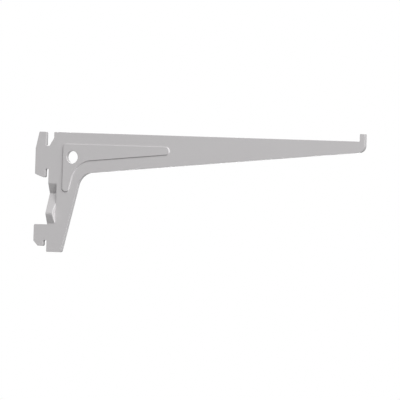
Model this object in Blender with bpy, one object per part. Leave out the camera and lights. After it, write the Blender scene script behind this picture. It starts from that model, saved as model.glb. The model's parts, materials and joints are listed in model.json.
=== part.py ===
"""Slotted shelf bracket: one plate of sheet steel, blanked and pressed.

The plate stands in the XZ plane with its middle at Y = 0. The arm runs along +X, the raised
side of the panel faces -Y, and +Z is up. The origin is on the back edge that stands against the
rail, between the upper hook and the waved strip. All sizes are in metres.
"""

import math

import bmesh
import bpy
from mathutils import Vector

MM = 0.001

# The sheet, and the main sizes of the bracket.
THICKNESS = 3.0 * MM
REACH = 250.0 * MM
SEAT_HEIGHT = 31.0 * MM
FOOT_DEPTH = 83.9 * MM
RAIL_PITCH = 50.0 * MM

# The arm, its tip and the leg. A slope is a rise or run per unit of length.
ARM_ROOT_DEPTH = 28.5 * MM
ARM_SLOPE = 0.0939
LEG_ROOT_X = 25.5 * MM
LEG_SLOPE = 0.2518
CROTCH_RADIUS = 12.0 * MM
NIB_WIDTH = 4.0 * MM
NIB_RISE = 5.3 * MM
TIP_RADIUS = 5.0 * MM

# The hooks. A slot takes the front wall of the rail.
SLOT_WIDTH = 2.7 * MM
UPPER_SLOT_DEPTH = 25.8 * MM
UPPER_HOOK_OUT = 10.75 * MM
UPPER_HOOK_TOP_OUT = 8.1 * MM
UPPER_HOOK_KNEE_DEPTH = 11.6 * MM
UPPER_HOOK_DROP = 6.6 * MM
NOTCH_DEPTH = 9.8 * MM
NOTCH_RIGHT = 3.6 * MM
NOTCH_WALL_DEPTH = 4.2 * MM
LOWER_HOOK_OUT = 10.4 * MM
LOWER_HOOK_RISE = 11.1 * MM
LOWER_HOOK_DROP = 4.0 * MM
LOWER_HOOK_CHAMFER = 3.5 * MM

# The waved strip along the back edge, between the hooks.
WAVE_TOP_DEPTH = 35.9 * MM
WAVE_LENGTH = 28.2 * MM
WAVE_SWING = 3.0 * MM
STRIP_WIDTH = 6.1 * MM
WALL_RUN = 0.55 * MM
FOLD_RADIUS = 3.0 * MM

# The panel pressed out of the plate, and the hole through it.
PANEL_HEIGHT = 0.7 * MM
PANEL_RUN = 0.5 * MM
PANEL_LEFT = 11.2 * MM
PANEL_TOP_DEPTH = 8.3 * MM
PANEL_RIGHT = 95.4 * MM
PANEL_INNER_DEPTH = 20.4 * MM
PANEL_INNER_X = 21.45 * MM
PANEL_BOTTOM_DEPTH = 41.45 * MM
PANEL_INNER_RADIUS = 16.5 * MM
HOLE_DIAMETER = 8.8 * MM
HOLE_X = 18.7 * MM
HOLE_DEPTH = 17.2 * MM

# How far a tool passes through the face that it cuts or joins.
OVERLAP = 0.4 * MM
ARC_STEP = math.radians(15.0)
WIDE_ARC_STEP = math.radians(6.0)
WIDE_ARC = 5.5 * MM
SCORES = 40
WALL_COLUMNS = 2

# How far the crest and the foot of the strip's wall slide along X at the top of a wave. The key
# says whether the face is the front one, and whether the strip stands out of it there.
WALL_SLIDES = {
    (True, True): (-0.75 * MM, -0.9 * MM),
    (True, False): (0.25 * MM, 0.0),
    (False, True): (0.75 * MM, 0.65 * MM),
    (False, False): (-1.25 * MM, -1.2 * MM),
}


def clear_scene():
    for obj in list(bpy.data.objects):
        bpy.data.objects.remove(obj, do_unlink=True)
    for old in list(bpy.data.collections):
        bpy.data.collections.remove(old)


def add_collection(name):
    made = bpy.data.collections.new(name)
    bpy.context.scene.collection.children.link(made)
    return made


def painted_steel():
    material = bpy.data.materials.new("painted_steel")
    material.use_nodes = True
    shader = material.node_tree.nodes["Principled BSDF"]
    shader.inputs["Base Color"].default_value = (0.49, 0.485, 0.48, 1.0)
    shader.inputs["Roughness"].default_value = 0.5
    return material


def rounded(corners):
    """A closed outline of (x, z) points. Each corner is (x, z, radius)."""
    points = []
    for i, (x, z, radius) in enumerate(corners):
        here = Vector((x, z))
        before = (Vector(corners[i - 1][:2]) - here).normalized()
        after = (Vector(corners[(i + 1) % len(corners)][:2]) - here).normalized()
        turn = math.pi - before.angle(after)
        if radius <= 0.0 or turn < 0.01:
            points.append(here)
            continue
        centre = here + (before + after).normalized() * radius / math.cos(turn / 2)
        start = here + before * radius * math.tan(turn / 2) - centre
        side = 1.0 if before.x * after.y - before.y * after.x < 0 else -1.0
        step = WIDE_ARC_STEP if radius > WIDE_ARC else ARC_STEP
        steps = max(3, math.ceil(turn / step))
        for k in range(steps + 1):
            angle = side * turn * k / steps
            spun = Vector(
                (
                    start.x * math.cos(angle) - start.y * math.sin(angle),
                    start.x * math.sin(angle) + start.y * math.cos(angle),
                )
            )
            points.append(centre + spun)
    return points


def grown(corners, distance):
    """The same corners with every side moved outwards. They run anticlockwise."""
    moved = []
    for i, (x, z, radius) in enumerate(corners):
        here = Vector((x, z))
        along = (here - Vector(corners[i - 1][:2])).normalized()
        onward = (Vector(corners[(i + 1) % len(corners)][:2]) - here).normalized()
        out_a = Vector((along.y, -along.x))
        out_b = Vector((onward.y, -onward.x))
        shift = (out_a + out_b) * distance / (1.0 + out_a.dot(out_b))
        convex = along.x * onward.y - along.y * onward.x > 0
        larger = radius + distance if convex else radius - distance
        moved.append((x + shift.x, z + shift.y, max(larger, 0.05 * MM)))
    return moved


def loft(name, loop_a, y_a, loop_b, y_b, collection):
    """A solid between two outlines that have the same number of points."""
    bm = bmesh.new()
    ring_a = [bm.verts.new((x, y_a, z)) for x, z in loop_a]
    ring_b = [bm.verts.new((x, y_b, z)) for x, z in loop_b]
    bm.faces.new(ring_a)
    bm.faces.new(reversed(ring_b))
    for i in range(len(ring_a)):
        bm.faces.new((ring_a[i], ring_a[i - 1], ring_b[i - 1], ring_b[i]))
    bmesh.ops.recalc_face_normals(bm, faces=bm.faces)
    mesh = bpy.data.meshes.new(name)
    bm.to_mesh(mesh)
    bm.free()
    obj = bpy.data.objects.new(name, mesh)
    collection.objects.link(obj)
    return obj


def plate_corners():
    """The blank's outline, anticlockwise from the tip's nib. Depths count down from the seat."""
    tip_depth = ARM_ROOT_DEPTH - (REACH - LEG_ROOT_X) * ARM_SLOPE
    foot_right = LEG_ROOT_X - (FOOT_DEPTH - ARM_ROOT_DEPTH) * LEG_SLOPE
    lower_slot = UPPER_SLOT_DEPTH + RAIL_PITCH
    lower_top = lower_slot - LOWER_HOOK_RISE
    lower_end = lower_slot + LOWER_HOOK_DROP
    upper_end = UPPER_SLOT_DEPTH + UPPER_HOOK_DROP
    chamfer = LOWER_HOOK_CHAMFER
    by_depth = (
        (REACH, -NIB_RISE, 0.7 * MM),
        (REACH - NIB_WIDTH, -NIB_RISE, 0.7 * MM),
        (REACH - NIB_WIDTH, 0.0, 0.4 * MM),
        (NOTCH_RIGHT, 0.0, 0.5 * MM),
        (NOTCH_RIGHT, NOTCH_WALL_DEPTH, 0.6 * MM),
        (0.0, NOTCH_DEPTH, 0.6 * MM),
        (-SLOT_WIDTH, NOTCH_DEPTH, 0.5 * MM),
        (-SLOT_WIDTH, 0.0, 0.7 * MM),
        (-UPPER_HOOK_TOP_OUT, 0.0, 0.7 * MM),
        (-UPPER_HOOK_OUT, UPPER_HOOK_KNEE_DEPTH, 3.0 * MM),
        (-UPPER_HOOK_OUT, upper_end - 2.8 * MM, 0.9 * MM),
        (-SLOT_WIDTH, upper_end, 1.2 * MM),
        (-SLOT_WIDTH, UPPER_SLOT_DEPTH, 1.1 * MM),
        (0.0, UPPER_SLOT_DEPTH, 0.4 * MM),
        (0.0, lower_top, 0.4 * MM),
        (-LOWER_HOOK_OUT, lower_top, 1.3 * MM),
        (-LOWER_HOOK_OUT, lower_end - chamfer, 0.5 * MM),
        (-LOWER_HOOK_OUT + chamfer, lower_end, 0.5 * MM),
        (-SLOT_WIDTH, lower_end, 1.0 * MM),
        (-SLOT_WIDTH, lower_slot, 1.1 * MM),
        (0.0, lower_slot, 0.4 * MM),
        (0.0, FOOT_DEPTH, 0.4 * MM),
        (foot_right, FOOT_DEPTH, 1.5 * MM),
        (LEG_ROOT_X, ARM_ROOT_DEPTH, CROTCH_RADIUS),
        (REACH, tip_depth, TIP_RADIUS),
    )
    return [(x, SEAT_HEIGHT - depth, radius) for x, depth, radius in by_depth]


def panel_corners():
    """The middle of the pressed panel's slope, anticlockwise from its right end."""
    inner_drop = PANEL_BOTTOM_DEPTH - PANEL_INNER_DEPTH
    leg_right = PANEL_INNER_X - inner_drop * LEG_SLOPE
    lower_right = PANEL_INNER_DEPTH - (PANEL_RIGHT - PANEL_INNER_X) * ARM_SLOPE
    by_depth = (
        (PANEL_RIGHT, PANEL_TOP_DEPTH, 2.9 * MM),
        (PANEL_LEFT, PANEL_TOP_DEPTH, 2.7 * MM),
        (PANEL_LEFT, PANEL_BOTTOM_DEPTH, 2.6 * MM),
        (leg_right, PANEL_BOTTOM_DEPTH, 1.9 * MM),
        (PANEL_INNER_X, PANEL_INNER_DEPTH, PANEL_INNER_RADIUS),
        (PANEL_RIGHT, lower_right, 2.2 * MM),
    )
    return [(x, SEAT_HEIGHT - depth, radius) for x, depth, radius in by_depth]


def fold_list():
    """Each fold of the waved strip: its depth, its offset, and the slopes before and after it."""
    quarter = WAVE_LENGTH / 4
    slope = WAVE_SWING / quarter
    return (
        (WAVE_TOP_DEPTH, 0.0, 0.0, slope),
        (WAVE_TOP_DEPTH + quarter, WAVE_SWING, slope, -slope),
        (WAVE_TOP_DEPTH + 3 * quarter, -WAVE_SWING, -slope, slope),
        (WAVE_TOP_DEPTH + WAVE_LENGTH, 0.0, slope, 0.0),
    )


def fold_reach(before, after):
    return FOLD_RADIUS * abs(after - before) / 2


def wave_offset(depth, front):
    """How far the strip leaves the plate along Y. A fold is round outside and sharp inside."""
    folds = fold_list()
    if depth <= folds[0][0]:
        offset = 0.0
    elif depth >= folds[-1][0]:
        offset = 0.0
    else:
        last = max((f for f in folds if f[0] <= depth), key=lambda f: f[0])
        offset = last[1] + last[3] * (depth - last[0])
    for at, _, before, after in folds:
        reach = fold_reach(before, after)
        outside = (after > before) == front
        gap = reach - abs(depth - at)
        if outside and gap > 0.0:
            offset += (after - before) * gap * gap / (4 * reach)
    return offset


def press_wave(plate):
    """Scores the back edge across and presses it into a wave, with a wall to the flat plate."""
    bm = bmesh.new()
    bm.from_mesh(plate.data)
    wall_end = STRIP_WIDTH + WALL_RUN
    depths = set()
    for at, _, before, after in fold_list():
        reach = fold_reach(before, after)
        depths.update(at + reach * k / 2 for k in (-2, -1, 0, 1, 2))
    top, bottom = min(depths), max(depths)
    for k in range(1, SCORES):
        even = WAVE_TOP_DEPTH + WAVE_LENGTH * k / SCORES
        if min(abs(even - depth) for depth in depths) > 0.2 * MM:
            depths.add(even)

    def score(point, normal, low, high):
        faces = [
            face
            for face in bm.faces
            if face.calc_center_bounds().x < wall_end + 1e-6
            and low - 1e-6 < SEAT_HEIGHT - face.calc_center_bounds().z < high + 1e-6
        ] or list(bm.faces)
        geometry = {*faces}
        for face in faces:
            geometry.update(face.edges)
            geometry.update(face.verts)
        bmesh.ops.bisect_plane(
            bm, geom=list(geometry), dist=1e-7, plane_co=point, plane_no=normal
        )

    whole = [*bm.verts, *bm.edges, *bm.faces]
    bmesh.ops.bisect_plane(
        bm, geom=whole, dist=1e-7, plane_co=(wall_end, 0, 0), plane_no=(1, 0, 0)
    )
    for depth in (top, bottom):
        whole = [*bm.verts, *bm.edges, *bm.faces]
        height = SEAT_HEIGHT - depth
        bmesh.ops.bisect_plane(
            bm, geom=whole, dist=1e-7, plane_co=(0, 0, height), plane_no=(0, 0, 1)
        )
    for k in range(WALL_COLUMNS):
        score((STRIP_WIDTH + WALL_RUN * k / WALL_COLUMNS, 0, 0), (1, 0, 0), top, bottom)
    for depth in sorted(depths):
        score((0, 0, SEAT_HEIGHT - depth), (0, 0, 1), top, bottom)

    for vert in bm.verts:
        depth = SEAT_HEIGHT - vert.co.z
        if not (top < depth < bottom and vert.co.x < wall_end + 1e-6):
            continue
        front = vert.co.y < 0
        offset = wave_offset(depth, front)
        share = abs(offset) / WAVE_SWING
        crest, foot = WALL_SLIDES[front, (offset < 0) == front]
        across = max(0.0, (vert.co.x - STRIP_WIDTH) / WALL_RUN)
        vert.co.y += offset * (1.0 - across)
        if vert.co.x > STRIP_WIDTH - 1e-6:
            vert.co.x += share * (crest * (1.0 - across) + foot * across)
    bm.to_mesh(plate.data)
    bm.free()


def combine(target, tool, operation):
    modifier = target.modifiers.new(tool.name, "BOOLEAN")
    modifier.operation = operation
    modifier.solver = "EXACT"
    modifier.object = tool


def pressed_block(name, y_open, y_floor, y_surface, collection):
    """The panel's shape, with its slope carried past the surface of the sheet."""
    middle = panel_corners()
    per_depth = PANEL_RUN / PANEL_HEIGHT
    beyond = PANEL_RUN / 2 + abs(y_open - y_surface) * per_depth
    wide = rounded(grown(middle, beyond))
    narrow = rounded(grown(middle, -PANEL_RUN / 2))
    return loft(name, wide, y_open, narrow, y_floor, collection)


def build():
    clear_scene()
    parts = add_collection("slotted_shelf_bracket")
    cutters = add_collection("cutters")
    cutters.hide_render = True

    outline = rounded(plate_corners())
    half = THICKNESS / 2
    plate = loft("bracket_plate", outline, -half, outline, half, parts)
    press_wave(plate)

    raised = pressed_block(
        "panel_raised", -half + OVERLAP, -half - PANEL_HEIGHT, -half, cutters
    )
    recess = pressed_block(
        "panel_recess", half + OVERLAP, half - PANEL_HEIGHT, half, cutters
    )
    bpy.ops.mesh.primitive_cylinder_add(
        vertices=48,
        radius=HOLE_DIAMETER / 2,
        depth=4 * THICKNESS,
        location=(HOLE_X, 0.0, SEAT_HEIGHT - HOLE_DEPTH),
        rotation=(math.pi / 2, 0.0, 0.0),
    )
    drill = bpy.context.object
    drill.name = "hole_drill"
    for owner in list(drill.users_collection):
        owner.objects.unlink(drill)
    cutters.objects.link(drill)

    combine(plate, recess, "DIFFERENCE")
    combine(plate, raised, "UNION")
    combine(plate, drill, "DIFFERENCE")
    for tool in (raised, recess, drill):
        tool.hide_render = True
        tool.display_type = "WIRE"
    plate.data.materials.append(painted_steel())


build()
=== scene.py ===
# %% [markdown]
# # A slotted shelf bracket
# A shelf bracket of this kind is cut from one sheet of steel and hangs by two hooks in the slots
# of a wall rail. Everything that catches the eye on it is press work: the cut outline, the raised
# panel that stiffens the arm, the waved strip at its back edge, and the round hole.
# This lesson makes it much as the press shop does: draw the blank with all its lines, give it its
# thickness, break its edges, press it, paint it. The imported model is loaded first.

# %% Load the imported model
import json
import math

import bmesh
import bpy
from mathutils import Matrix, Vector

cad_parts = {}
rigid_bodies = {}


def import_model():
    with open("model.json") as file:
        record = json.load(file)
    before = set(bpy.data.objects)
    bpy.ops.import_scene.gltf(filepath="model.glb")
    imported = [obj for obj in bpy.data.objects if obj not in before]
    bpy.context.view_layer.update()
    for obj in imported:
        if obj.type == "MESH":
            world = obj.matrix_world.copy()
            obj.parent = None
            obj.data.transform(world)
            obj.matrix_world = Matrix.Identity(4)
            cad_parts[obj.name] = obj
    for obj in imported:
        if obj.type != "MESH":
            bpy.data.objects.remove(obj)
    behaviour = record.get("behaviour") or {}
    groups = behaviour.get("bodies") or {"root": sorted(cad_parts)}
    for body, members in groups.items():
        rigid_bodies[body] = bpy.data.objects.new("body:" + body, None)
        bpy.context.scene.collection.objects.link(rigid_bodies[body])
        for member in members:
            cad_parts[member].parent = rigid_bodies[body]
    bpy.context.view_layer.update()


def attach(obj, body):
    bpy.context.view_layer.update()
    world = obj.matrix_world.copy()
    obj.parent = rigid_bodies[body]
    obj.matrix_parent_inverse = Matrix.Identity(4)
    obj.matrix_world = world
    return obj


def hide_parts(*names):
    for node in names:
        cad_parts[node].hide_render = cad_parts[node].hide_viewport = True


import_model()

MM = 0.001

# %% [markdown]
# ## Selecting by place
# By hand, a vertex or an edge is picked with the mouse. A script picks it by where it is. One
# helper does it for vertices, edges and faces alike: it selects what passes a test. Heights on
# the bracket are given as depths below the shelf seat, the arm's top edge, and its lengths are in
# millimetres until they are multiplied by MM.

# %% Helpers for edit mode
SEAT_HEIGHT = 31.0 * MM
NEAR = 0.01 * MM


def depth_of(point):
    return SEAT_HEIGHT - point.z


def select(kind, test):
    """Selects the vertices, edges or faces of the edited mesh that pass the test."""
    mesh = bpy.context.edit_object.data
    bpy.ops.mesh.select_mode(type=kind)
    bpy.ops.mesh.select_all(action="DESELECT")
    bm = bmesh.from_edit_mesh(mesh)
    items = {"VERT": bm.verts, "EDGE": bm.edges, "FACE": bm.faces}[kind]
    found = [item for item in items if test(item)]
    for item in found:
        item.select_set(True)
    bm.select_flush_mode()
    bmesh.update_edit_mesh(mesh)
    return len(found)


# %% [markdown]
# ## The blank
# The outline is a chain of straight sides with a rounded corner between each two. The plane
# primitive is merged to one vertex, and that vertex is extruded from corner to corner, the way an
# outline is drawn by hand. Each corner is then rounded with a vertex bevel, whose setback along
# the sides is the radius times the tangent of half the turn.

# %% The corners of the outline: x, depth, radius, all in millimetres
OUTLINE = (
    (250.0, -5.3, 0.7),
    (246.0, -5.3, 0.7),
    (246.0, 0.0, 0.4),
    (3.6, 0.0, 0.5),
    (3.6, 4.2, 0.6),
    (0.0, 9.8, 0.6),
    (-2.7, 9.8, 0.5),
    (-2.7, 0.0, 0.7),
    (-8.1, 0.0, 0.7),
    (-10.75, 11.6, 3.0),
    (-10.75, 29.6, 0.9),
    (-2.7, 32.4, 1.2),
    (-2.7, 25.8, 1.1),
    (0.0, 25.8, 0.4),
    (0.0, 64.7, 0.4),
    (-10.4, 64.7, 1.3),
    (-10.4, 76.3, 0.5),
    (-6.9, 79.8, 0.5),
    (-2.7, 79.8, 1.0),
    (-2.7, 75.8, 1.1),
    (0.0, 75.8, 0.4),
    (0.0, 83.9, 0.4),
    (11.55, 83.9, 1.5),
    (25.5, 28.5, 12.0),
    (250.0, 7.42, 5.0),
)
print("outline has", len(OUTLINE), "corners")

# %% Draw a face and round a corner of it
SHEET = 3.0
LARGE_RADIUS, FINE_STEP, COARSE_STEP, FEWEST_STEPS = 4.0, math.radians(5), math.radians(12), 4


def place(x, depth):
    """A point on the front of the sheet."""
    return Vector((x * MM, -SHEET / 2 * MM, SEAT_HEIGHT - depth * MM))


def draw_face(corners):
    """Draws a flat face by extruding one vertex from corner to corner."""
    points = [place(x, depth) for x, depth, _ in corners]
    bpy.ops.mesh.select_mode(type="VERT")
    bpy.ops.mesh.primitive_plane_add(size=1 * MM, location=points[0])
    bpy.ops.mesh.merge(type="CENTER")
    for before, after in zip(points, points[1:]):
        step = {"value": after - before}
        bpy.ops.mesh.extrude_region_move(TRANSFORM_OT_translate=step)
    bpy.ops.mesh.select_linked()
    bpy.ops.mesh.edge_face_add()
    return points


def round_corner(points, i, radius):
    """Rounds one corner of a drawn face with a vertex bevel."""
    here = points[i]
    before = (points[i - 1] - here).normalized()
    after = (points[(i + 1) % len(points)] - here).normalized()
    turn = math.pi - before.angle(after)
    # A profile of 0.5 is a circle only at a right angle. This one passes through the middle
    # of the true arc at any angle.
    bow = math.cos(turn / 2) / (1 + math.cos(turn / 2))
    step = FINE_STEP if radius > LARGE_RADIUS else COARSE_STEP
    select("VERT", lambda v: (v.co - here).length < NEAR)
    bpy.ops.mesh.bevel(
        affect="VERTICES",
        offset=radius * MM * math.tan(turn / 2),
        offset_type="OFFSET",
        segments=max(FEWEST_STEPS, math.ceil(turn / step)),
        profile=((1 + bow) / 2) ** 2,
        clamp_overlap=False,
    )


# %% Draw the blank and round its corners
bpy.ops.object.select_all(action="DESELECT")
bpy.ops.mesh.primitive_plane_add(size=1 * MM)
bracket = bpy.context.object
bracket.name = "bracket_sheet"
bracket.data.name = "bracket_sheet"
bpy.ops.object.mode_set(mode="EDIT")
bpy.ops.mesh.delete(type="VERT")

outline_points = draw_face(OUTLINE)
for i, (_, _, radius) in enumerate(OUTLINE):
    round_corner(outline_points, i, radius)
print("blank drawn with", len(bmesh.from_edit_mesh(bracket.data).verts), "vertices")

# %% [markdown]
# ## Scoring the waved strip
# Between the hooks the back edge is pressed into a wave: first away from the viewer, then back
# through the plate and out the other side. A face bends only along its edges, so the strip gets
# its lines now, while it is flat and a straight cut is easy. Close lines go where it folds,
# and even lines between, and two upright lines bound the wall that joins it to the plate.

# %% Work out where the lines go
WAVE_TOP, WAVE_LENGTH, WAVE_SWING = 35.9, 28.2, 3.0
FOLD_RADIUS, FOLD_LINES, EVEN_LINES, CLOSEST = 3.0, 4, 40, 0.2
quarter = WAVE_LENGTH / 4
steepness = WAVE_SWING / quarter
# Each fold: its depth, how far the strip stands off there, and the slopes before and after.
FOLDS = (
    (WAVE_TOP, 0.0, 0.0, steepness),
    (WAVE_TOP + quarter, WAVE_SWING, steepness, -steepness),
    (WAVE_TOP + 3 * quarter, -WAVE_SWING, -steepness, steepness),
    (WAVE_TOP + WAVE_LENGTH, 0.0, steepness, 0.0),
)
row_depths = set()
for depth, _, before, after in FOLDS:
    reach = FOLD_RADIUS * abs(after - before) / 2
    for k in range(-FOLD_LINES, FOLD_LINES + 1):
        row_depths.add(round(depth + reach * k / FOLD_LINES, 4))
strip_top, strip_bottom = min(row_depths), max(row_depths)
for k in range(1, EVEN_LINES):
    even = WAVE_TOP + WAVE_LENGTH * k / EVEN_LINES
    if min(abs(even - depth) for depth in row_depths) > CLOSEST:
        row_depths.add(round(even, 4))
print("strip gets", len(row_depths), "lines from", strip_top, "to", strip_bottom, "mm")

# %% Cut the lines with bisect
STRIP_EDGE, WALL_EDGE, PANEL_SIDE = 6.1, 6.65, 8.5


def in_strip(point):
    depth = depth_of(point)
    return (
        point.x < WALL_EDGE * MM + NEAR
        and strip_top * MM - NEAR < depth < strip_bottom * MM + NEAR
    )


def cut_upright(x):
    bpy.ops.mesh.bisect(plane_co=(x * MM, 0, 0), plane_no=(1, 0, 0))


def cut_level(depth):
    bpy.ops.mesh.bisect(plane_co=place(0, depth), plane_no=(0, 0, 1))


select("FACE", lambda f: True)
cut_upright(PANEL_SIDE)
select("FACE", lambda f: f.calc_center_bounds().x < PANEL_SIDE * MM)
cut_upright(WALL_EDGE)
for depth in (strip_top, strip_bottom):
    select("FACE", lambda f: f.calc_center_bounds().x < WALL_EDGE * MM)
    cut_level(depth)
select("FACE", lambda f: in_strip(f.calc_center_bounds()))
cut_upright(STRIP_EDGE)
for depth in sorted(row_depths):
    select("FACE", lambda f: in_strip(f.calc_center_bounds()))
    cut_level(depth)
print("blank scored into", len(bmesh.from_edit_mesh(bracket.data).faces), "faces")

# %% Mark the two long edges of the wall
# A seam on the one and a crease on the other stay with their edges until they are rounded.
CREASE_MARK = 1.0


def line_in_strip(edge, x):
    """True for a piece of an upright line of the strip, at x millimetres."""
    ends = [vert.co for vert in edge.verts]
    return all(in_strip(end) and abs(end.x - x * MM) < NEAR for end in ends)


crest_edges = select("EDGE", lambda e: line_in_strip(e, STRIP_EDGE))
bpy.ops.mesh.mark_seam()
select("EDGE", lambda e: line_in_strip(e, WALL_EDGE))
bpy.ops.transform.edge_crease(value=CREASE_MARK)
print("wall marked along", crest_edges, "edges on each side")

# %% [markdown]
# ## The panel and the hole
# The raised panel follows the arm and the leg at an even distance from their edges. Its outline
# is drawn as a face of its own, and an inset gives the sloping band round it its width. Along
# the top edge the slope stands almost upright, so the inner outline is stretched up to the outer
# one there. The hole is a circle in the panel. Fill then closes the ring between each outline
# and the one inside it, and leaves the hole open.

# %% Draw the panel and fill the plate round it
# The outer foot of the slope: x, depth, radius.
PANEL_FOOT = (
    (95.65, 8.05, 3.15),
    (10.95, 8.05, 2.95),
    (10.95, 41.7, 2.85),
    (16.34, 41.7, 2.15),
    (21.65, 20.63, 16.25),
    (95.65, 13.68, 2.45),
)

select("FACE", lambda f: f.calc_center_bounds().x > PANEL_SIDE * MM)
bpy.ops.mesh.delete(type="ONLY_FACE")

panel_points = draw_face(PANEL_FOOT)
for i, (_, _, radius) in enumerate(PANEL_FOOT):
    round_corner(panel_points, i, radius)
select("FACE", lambda f: f.calc_center_bounds().x > PANEL_SIDE * MM)
ring = select(
    "EDGE",
    lambda e: e.is_wire
    or (e.is_boundary and min(v.co.x for v in e.verts) > PANEL_SIDE * MM - NEAR),
)
bpy.ops.mesh.fill(use_beauty=True)
print("plate filled round the panel from", ring, "edges")

# %% Inset the panel, with a steeper slope along its top edge
SLOPE_WIDTH, TOP_SLOPE_WIDTH, CORNER_DEPTH = 0.5, 0.1, 11.0
PANEL_MIDDLE, MANY_CORNERS = (9.0, 60.0), 10


def is_panel(face):
    """True for the one face that has many corners and lies where the panel is."""
    left, right = PANEL_MIDDLE
    middle = face.calc_center_bounds().x
    return len(face.verts) >= MANY_CORNERS and left * MM < middle < right * MM


select("FACE", is_panel)
bpy.ops.mesh.inset(thickness=SLOPE_WIDTH * MM, use_even_offset=True)
bpy.ops.object.vertex_group_assign_new()
bracket.vertex_groups.active.name = "panel_top"
raised = select(
    "VERT",
    lambda v: depth_of(v.co) < CORNER_DEPTH * MM and any(map(is_panel, v.link_faces)),
)
to_foot = CORNER_DEPTH - PANEL_FOOT[0][1]
bpy.ops.transform.resize(
    value=(1, 1, (to_foot - TOP_SLOPE_WIDTH) / (to_foot - SLOPE_WIDTH)),
    center_override=place(0, CORNER_DEPTH),
)
select("FACE", is_panel)
bpy.ops.mesh.delete(type="ONLY_FACE")
print("slope made steeper at", raised, "vertices")

# %% Cut the hole in the panel
HOLE_X, HOLE_DEPTH, HOLE_RADIUS, HOLE_SIDES = 18.7, 17.2, 4.4, 72

bpy.ops.mesh.select_mode(type="VERT")
bpy.ops.mesh.primitive_circle_add(
    vertices=HOLE_SIDES,
    radius=HOLE_RADIUS * MM,
    location=place(HOLE_X, HOLE_DEPTH),
    rotation=(math.pi / 2, 0, 0),
)
bpy.ops.object.vertex_group_assign()
bpy.ops.object.vertex_group_select()
bpy.ops.mesh.select_mode(type="EDGE")
bpy.ops.mesh.fill(use_beauty=True)
print("hole cut,", 2 * HOLE_RADIUS, "mm wide")

# %% [markdown]
# ## Thickness and the cut edges
# Extruding the flat drawing gives both faces of the sheet the same lines, so that a press stroke
# can move them together. A press leaves no razor edges, and paint rounds them further, so the
# rim of the blank and of the hole is broken by a sixth of a millimetre.

# %% Extrude the sheet and break its rim
RIM_BREAK, RIM_SEGMENTS, RIM_ANGLE = 0.16, 3, math.radians(80)

bpy.ops.mesh.select_all(action="SELECT")
bpy.ops.mesh.normals_make_consistent(inside=False)
bpy.ops.mesh.extrude_region_move(TRANSFORM_OT_translate={"value": (0, SHEET * MM, 0)})
bpy.ops.mesh.select_all(action="SELECT")
bpy.ops.mesh.normals_make_consistent(inside=False)
rim_edges = select("EDGE", lambda e: e.calc_face_angle(0.0) > RIM_ANGLE)
bpy.ops.mesh.bevel(
    offset=RIM_BREAK * MM, segments=RIM_SEGMENTS, loop_slide=False, clamp_overlap=False
)
print("rim broken along", rim_edges, "edges")

# %% [markdown]
# ## Pressing the panel
# One stroke of the press: everything inside the slope moves towards the viewer, on both faces of
# the sheet. The two edges of the slope are bends and not cuts, so they get a soft bevel.

# %% Press the panel and soften its bends
PANEL_HEIGHT, BEND, BEND_SEGMENTS = 0.7, 0.12, 4
BEND_ANGLES = (math.radians(40), math.radians(85))

bpy.ops.mesh.select_mode(type="VERT")
bpy.ops.mesh.select_all(action="DESELECT")
bpy.ops.object.vertex_group_select()
bpy.ops.transform.translate(value=(0, -PANEL_HEIGHT * MM, 0))
bends = select(
    "EDGE",
    lambda e: BEND_ANGLES[0] < e.calc_face_angle(0.0) < BEND_ANGLES[1]
    and abs(e.verts[0].co.y - e.verts[1].co.y) < NEAR,
)
bpy.ops.mesh.bevel(
    offset=BEND * MM, segments=BEND_SEGMENTS, loop_slide=False, clamp_overlap=False
)
print("panel pressed, bends softened along", bends, "edges")

# %% [markdown]
# ## Pressing the wave
# Each scored line of the strip moves by its own amount. A fold in thick sheet is sharp on its
# inside and round on its outside, so the two faces get slightly different curves. The wall to
# the plate is narrow and stands almost upright. On each face it shifts sideways as the strip
# leaves the plate, one way where the strip stands out and the other way where it sinks in, so
# that the sheet stays whole between its two faces.

# %% How far each line of the strip moves
# How far the wall's crest and foot shift at the top of a wave. The key says whether the face is
# the front one, and whether the strip stands out of it there.
WALL_SLIDES = {
    (True, True): (-0.75, -0.9),
    (True, False): (0.25, 0.0),
    (False, True): (0.75, 0.65),
    (False, False): (-1.25, -1.2),
}


def wave_offset(depth, front):
    """How far a line of the strip leaves the plate, in millimetres."""
    offset = 0.0
    if FOLDS[0][0] < depth < FOLDS[-1][0]:
        last = [fold for fold in FOLDS if fold[0] <= depth][-1]
        offset = last[1] + last[3] * (depth - last[0])
    for at, _, before, after in FOLDS:
        reach = FOLD_RADIUS * abs(after - before) / 2
        gap = reach - abs(depth - at)
        if (after > before) == front and gap > 0:
            offset += (after - before) * gap * gap / (4 * reach)
    return offset


def on_line(point, depth, front):
    return abs(depth_of(point) - depth * MM) < NEAR and (point.y < 0) == front


# %% Move each scored line
for depth in sorted(row_depths):
    # The face that leads the move goes first. The other is then still alone on its own side
    # of the sheet's middle, where on_line looks for it.
    away = wave_offset(depth, True) > 0
    for front in (not away, away):
        offset = wave_offset(depth, front)
        share = abs(offset) / WAVE_SWING
        crest, foot = WALL_SLIDES[front, (offset < 0) == front]
        for x, slide in ((STRIP_EDGE, crest * share), (WALL_EDGE, foot * share)):
            select(
                "VERT",
                lambda v: on_line(v.co, depth, front) and abs(v.co.x - x * MM) < NEAR,
            )
            bpy.ops.transform.translate(value=(slide * MM, 0, 0))
        select(
            "VERT",
            lambda v: on_line(v.co, depth, front)
            and v.co.x < (STRIP_EDGE + crest * share) * MM + NEAR,
        )
        bpy.ops.transform.translate(value=(0, offset * MM, 0))
print("wave pressed", WAVE_SWING, "mm each way")

# %% Round the long edges of the wall
CREST_ROUND, CREST_SEGMENTS = 0.32, 3
FOOT_ROUND, FOOT_SEGMENTS = 0.1, 2

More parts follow.
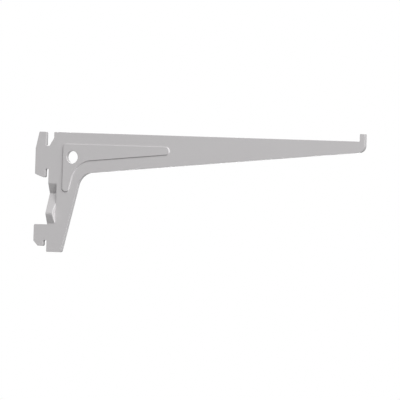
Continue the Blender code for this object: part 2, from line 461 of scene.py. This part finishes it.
crease = bmesh.from_edit_mesh(bracket.data).edges.layers.float["crease_edge"]
foot_edges = select("EDGE", lambda e: e[crease] > CREASE_MARK / 2)
bpy.ops.mesh.bevel(offset=FOOT_ROUND * MM, segments=FOOT_SEGMENTS, clamp_overlap=False)
crest_edges = select("EDGE", lambda e: e.seam)
bpy.ops.mesh.bevel(offset=CREST_ROUND * MM, segments=CREST_SEGMENTS, clamp_overlap=False)
# The marks and the panel's vertex group have done their work, so they are cleared.
bpy.ops.mesh.select_all(action="SELECT")
bpy.ops.mesh.mark_seam(clear=True)
bpy.ops.transform.edge_crease(value=-CREASE_MARK)
bpy.ops.mesh.normals_make_consistent(inside=False)
bpy.ops.object.mode_set(mode="OBJECT")
bpy.ops.object.vertex_group_remove(all=True)
print("wall rounded along", foot_edges + crest_edges, "edges")

# %% [markdown]
# ## Shading
# The bends are smooth and the sheet between them is flat. Plain smooth shading would tilt the
# light on the flat faces next to each bend. Weighted normals take their direction from the
# largest face at each vertex, so the flats stay flat and only the narrow bevels turn.

# %% Smooth the bends and keep the flats flat
SMOOTH_ANGLE, FLAT_WEIGHT = math.radians(50), 100

bpy.ops.object.shade_smooth_by_angle(angle=SMOOTH_ANGLE)
weighted = bracket.modifiers.new("weighted_normals", "WEIGHTED_NORMAL")
weighted.weight = FLAT_WEIGHT
weighted.keep_sharp = True
bpy.ops.object.modifier_apply(modifier=weighted.name)
print("shaded", len(bracket.data.polygons), "faces")

# %% [markdown]
# ## Shader maths that reads like maths
# A material is a graph of nodes. Written node by node it is hard to read, so a small class wraps
# an output socket: adding or multiplying two of them adds the Math node, and every other node
# comes from one method that takes its type, its settings and the values of its sockets.


# %% A class that wraps a socket
class Wire:
    """An output socket in a node tree, with arithmetic."""

    def __init__(self, socket):
        self.socket = socket

    @classmethod
    def node(cls, tree, kind, settings, inputs, output=0):
        """Adds any node: its settings are set first, then its sockets get values or links."""
        made = tree.nodes.new(kind)
        for name, value in settings.items():
            setattr(made, name, value)
        for name, value in inputs.items():
            if isinstance(value, Wire):
                tree.links.new(value.socket, made.inputs[name])
            else:
                made.inputs[name].default_value = value
        return cls(made.outputs[output])

    def maths(self, operation, left, right):
        settings = {"operation": operation}
        return Wire.node(
            self.socket.id_data, "ShaderNodeMath", settings, {0: left, 1: right}
        )

    def __add__(self, other):
        return self.maths("ADD", self, other)

    def __mul__(self, other):
        return self.maths("MULTIPLY", self, other)

    __radd__ = __add__
    __rmul__ = __mul__


# %% [markdown]
# ## The powder coat
# The steel is dusted with a light grey powder that melts into a skin a tenth of a millimetre
# thick. It levels out well, so what is left is faint: a very low orange peel about a millimetre
# across, fine grains, and slow drifts of tone and gloss over the arm. An image could carry them,
# but it would need an unwrapped mesh and would show seams at the cut edges. A pattern in the
# space of the object runs over the edges and through the hole as real paint does.

# %% Noise in the space of the object
DRIFT_SIZE, CLOUD_SIZE, PEEL_SIZE, GRAIN_SIZE = 60.0, 9.0, 1.3, 0.25

coat = bpy.data.materials.new("light_grey_powder_coat")
coat.use_nodes = True
coat_tree = coat.node_tree
coat_shader = coat_tree.nodes["Principled BSDF"]
position = Wire.node(coat_tree, "ShaderNodeTexCoord", {}, {}, output="Object")


def noise(size_mm, detail=2.0):
    """A grey noise between 0 and 1 whose spots are about so many millimetres across."""
    inputs = {"Vector": position, "Scale": 1 / (size_mm * MM), "Detail": detail}
    return Wire.node(coat_tree, "ShaderNodeTexNoise", {}, inputs)


drift = noise(DRIFT_SIZE)
cloud = noise(CLOUD_SIZE, detail=3.0)
peel = noise(PEEL_SIZE)
grain = noise(GRAIN_SIZE)
print("coat varies over", DRIFT_SIZE, CLOUD_SIZE, PEEL_SIZE, "and", GRAIN_SIZE, "mm")

# %% Colour, roughness and relief of the coat
PAINT_PALE = (0.474, 0.463, 0.468, 1.0)
PAINT_DARK = (0.454, 0.443, 0.448, 1.0)
DRIFT_TONE, CLOUD_TONE, GRAIN_TONE = 0.45, 0.35, 0.2
ROUGHNESS, CLOUD_ROUGHNESS, DRIFT_ROUGHNESS = 0.40, 0.08, 0.05
PEEL_HEIGHT, PEEL_STRENGTH, GRAIN_RELIEF = 0.012, 0.35, 0.25
SHEEN = 0.4

tone = DRIFT_TONE * drift + CLOUD_TONE * cloud + GRAIN_TONE * grain
mixed = Wire.node(
    coat_tree,
    "ShaderNodeMix",
    {"data_type": "RGBA"},
    {"Factor": tone, "A": PAINT_DARK, "B": PAINT_PALE},
    output=2,
)
roughness = ROUGHNESS + CLOUD_ROUGHNESS * cloud + DRIFT_ROUGHNESS * drift
relief_inputs = {
    "Height": peel + GRAIN_RELIEF * grain,
    "Strength": PEEL_STRENGTH,
    "Distance": PEEL_HEIGHT * MM,
}
relief = Wire.node(coat_tree, "ShaderNodeBump", {}, relief_inputs)
coat_tree.links.new(mixed.socket, coat_shader.inputs["Base Color"])
coat_tree.links.new(roughness.socket, coat_shader.inputs["Roughness"])
coat_tree.links.new(relief.socket, coat_shader.inputs["Normal"])
coat_shader.inputs["Specular IOR Level"].default_value = SHEEN
bracket.data.materials.append(coat)
print("coat uses", len(coat_tree.nodes), "nodes")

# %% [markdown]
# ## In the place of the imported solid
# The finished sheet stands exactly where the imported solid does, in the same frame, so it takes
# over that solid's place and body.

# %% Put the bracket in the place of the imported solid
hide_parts("bracket_plate")
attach(bracket, "root")
print(bracket.name, "stands in for bracket_plate")

# %% [markdown]
# ## Camera
# In the photograph the far end of the bracket is no smaller than the near end, so the camera is
# orthographic. It looks level, from 28 degrees to the right of square on, and it is tipped by
# just under two degrees. Its distance, and the studio's sizes below, are in metres.

# %% Camera
AZIMUTH, ROLL = math.radians(28.2), math.radians(1.8)
AIM = Vector((120.05 * MM, 0, -13.35 * MM))
FIELD, DISTANCE = 279.72 * MM, 1.5
to_camera = Vector((math.sin(AZIMUTH), -math.cos(AZIMUTH), 0))
bpy.ops.object.select_all(action="DESELECT")
bpy.ops.object.camera_add(location=AIM + to_camera * DISTANCE)
camera = bpy.context.object
camera.rotation_euler = (math.pi / 2, -ROLL, AZIMUTH)
camera.data.type = "ORTHO"
camera.data.ortho_scale = FIELD
bpy.context.scene.camera = camera
print("camera sees", round(FIELD / MM, 2), "mm across")

# %% [markdown]
# ## Studio
# A bracket hangs on a wall, so the pale floor lies well below it, where it throws little light
# back up and catches only a soft shadow. The background is white for rays from the camera, and
# for those that a glossy or clear surface sends on. It adds no diffuse light to the bracket. That
# comes from the lamps, so where they stand sets how light or dark each edge of it is.

# %% Lay the floor
FLOOR_DROP, FLOOR_SIZE = 3.0, 3.0
FLOOR_COLOR = (0.82, 0.82, 0.82, 1.0)
SPECKLE_INPUTS = {"Scale": 40.0, "Detail": 3.0}
FLOOR_ROUGHNESS, SPECKLE_ROUGHNESS = 0.85, 0.1

bpy.ops.mesh.primitive_plane_add(size=FLOOR_SIZE, location=(0, 0, -FLOOR_DROP))
floor = bpy.context.object
floor.name = "floor"
bpy.ops.object.transform_apply()

floor_paint = bpy.data.materials.new("pale_floor")
floor_paint.use_nodes = True
floor_tree = floor_paint.node_tree
floor_shader = floor_tree.nodes["Principled BSDF"]
speckle = Wire.node(floor_tree, "ShaderNodeTexNoise", {}, SPECKLE_INPUTS)
floor_roughness = FLOOR_ROUGHNESS + SPECKLE_ROUGHNESS * speckle
floor_shader.inputs["Base Color"].default_value = FLOOR_COLOR
floor_tree.links.new(floor_roughness.socket, floor_shader.inputs["Roughness"])
floor.data.materials.append(floor_paint)
print("floor laid", FLOOR_DROP, "m below")

# %% Make the world white where it is seen
WORLD_COLOR = (1.0, 1.0, 1.0, 1.0)


def seen_directly(tree):
    """1 for rays from the camera, a glossy surface or glass, and 0 for diffuse light."""
    names = ("Is Camera Ray", "Is Glossy Ray", "Is Transmission Ray")
    camera_ray, glossy, through = (
        Wire.node(tree, "ShaderNodeLightPath", {}, {}, output=name) for name in names
    )
    return camera_ray + glossy + through


world = bpy.data.worlds.new("studio")
world.use_nodes = True
bpy.context.scene.world = world
world_tree = world.node_tree
background = world_tree.nodes["Background"]
strength = seen_directly(world_tree)
background.inputs["Color"].default_value = WORLD_COLOR
world_tree.links.new(strength.socket, background.inputs["Strength"])
print("world uses", len(world_tree.nodes), "nodes")

# %% [markdown]
# ## Lamps
# Each lamp is a large square panel far off, so its light is soft and falls evenly along the whole
# arm. Three stand in front of the sheet, above it and to its right: slopes that face right or up
# turn bright and those that face left or down turn dark, as in the photograph. The fourth stands
# behind, so that the back isn't black.

# %% Set up the lamps
LAMP_DISTANCE, LAMP_SIZE = 6.0, 3.3
# Each lamp: name, direction it stands in, power in watts.
LAMPS = (
    ("top", (0.41, -0.51, 0.75), 204.0),
    ("front", (0.30, -0.81, 0.50), 218.0),
    ("side", (0.92, -0.34, 0.20), 305.0),
    ("behind", (-0.45, 0.88, 0.1), 345.0),
)
for name, direction, power in LAMPS:
    away = Vector(direction).normalized()
    bpy.ops.object.light_add(type="AREA", location=AIM + away * LAMP_DISTANCE)
    lamp = bpy.context.object
    lamp.name = name
    lamp.rotation_euler = away.to_track_quat("Z", "Y").to_euler()
    lamp.data.size = LAMP_SIZE
    lamp.data.energy = power
bpy.context.scene.view_settings.view_transform = "Standard"
print(len(LAMPS), "lamps,", sum(power for _, _, power in LAMPS), "W in all")
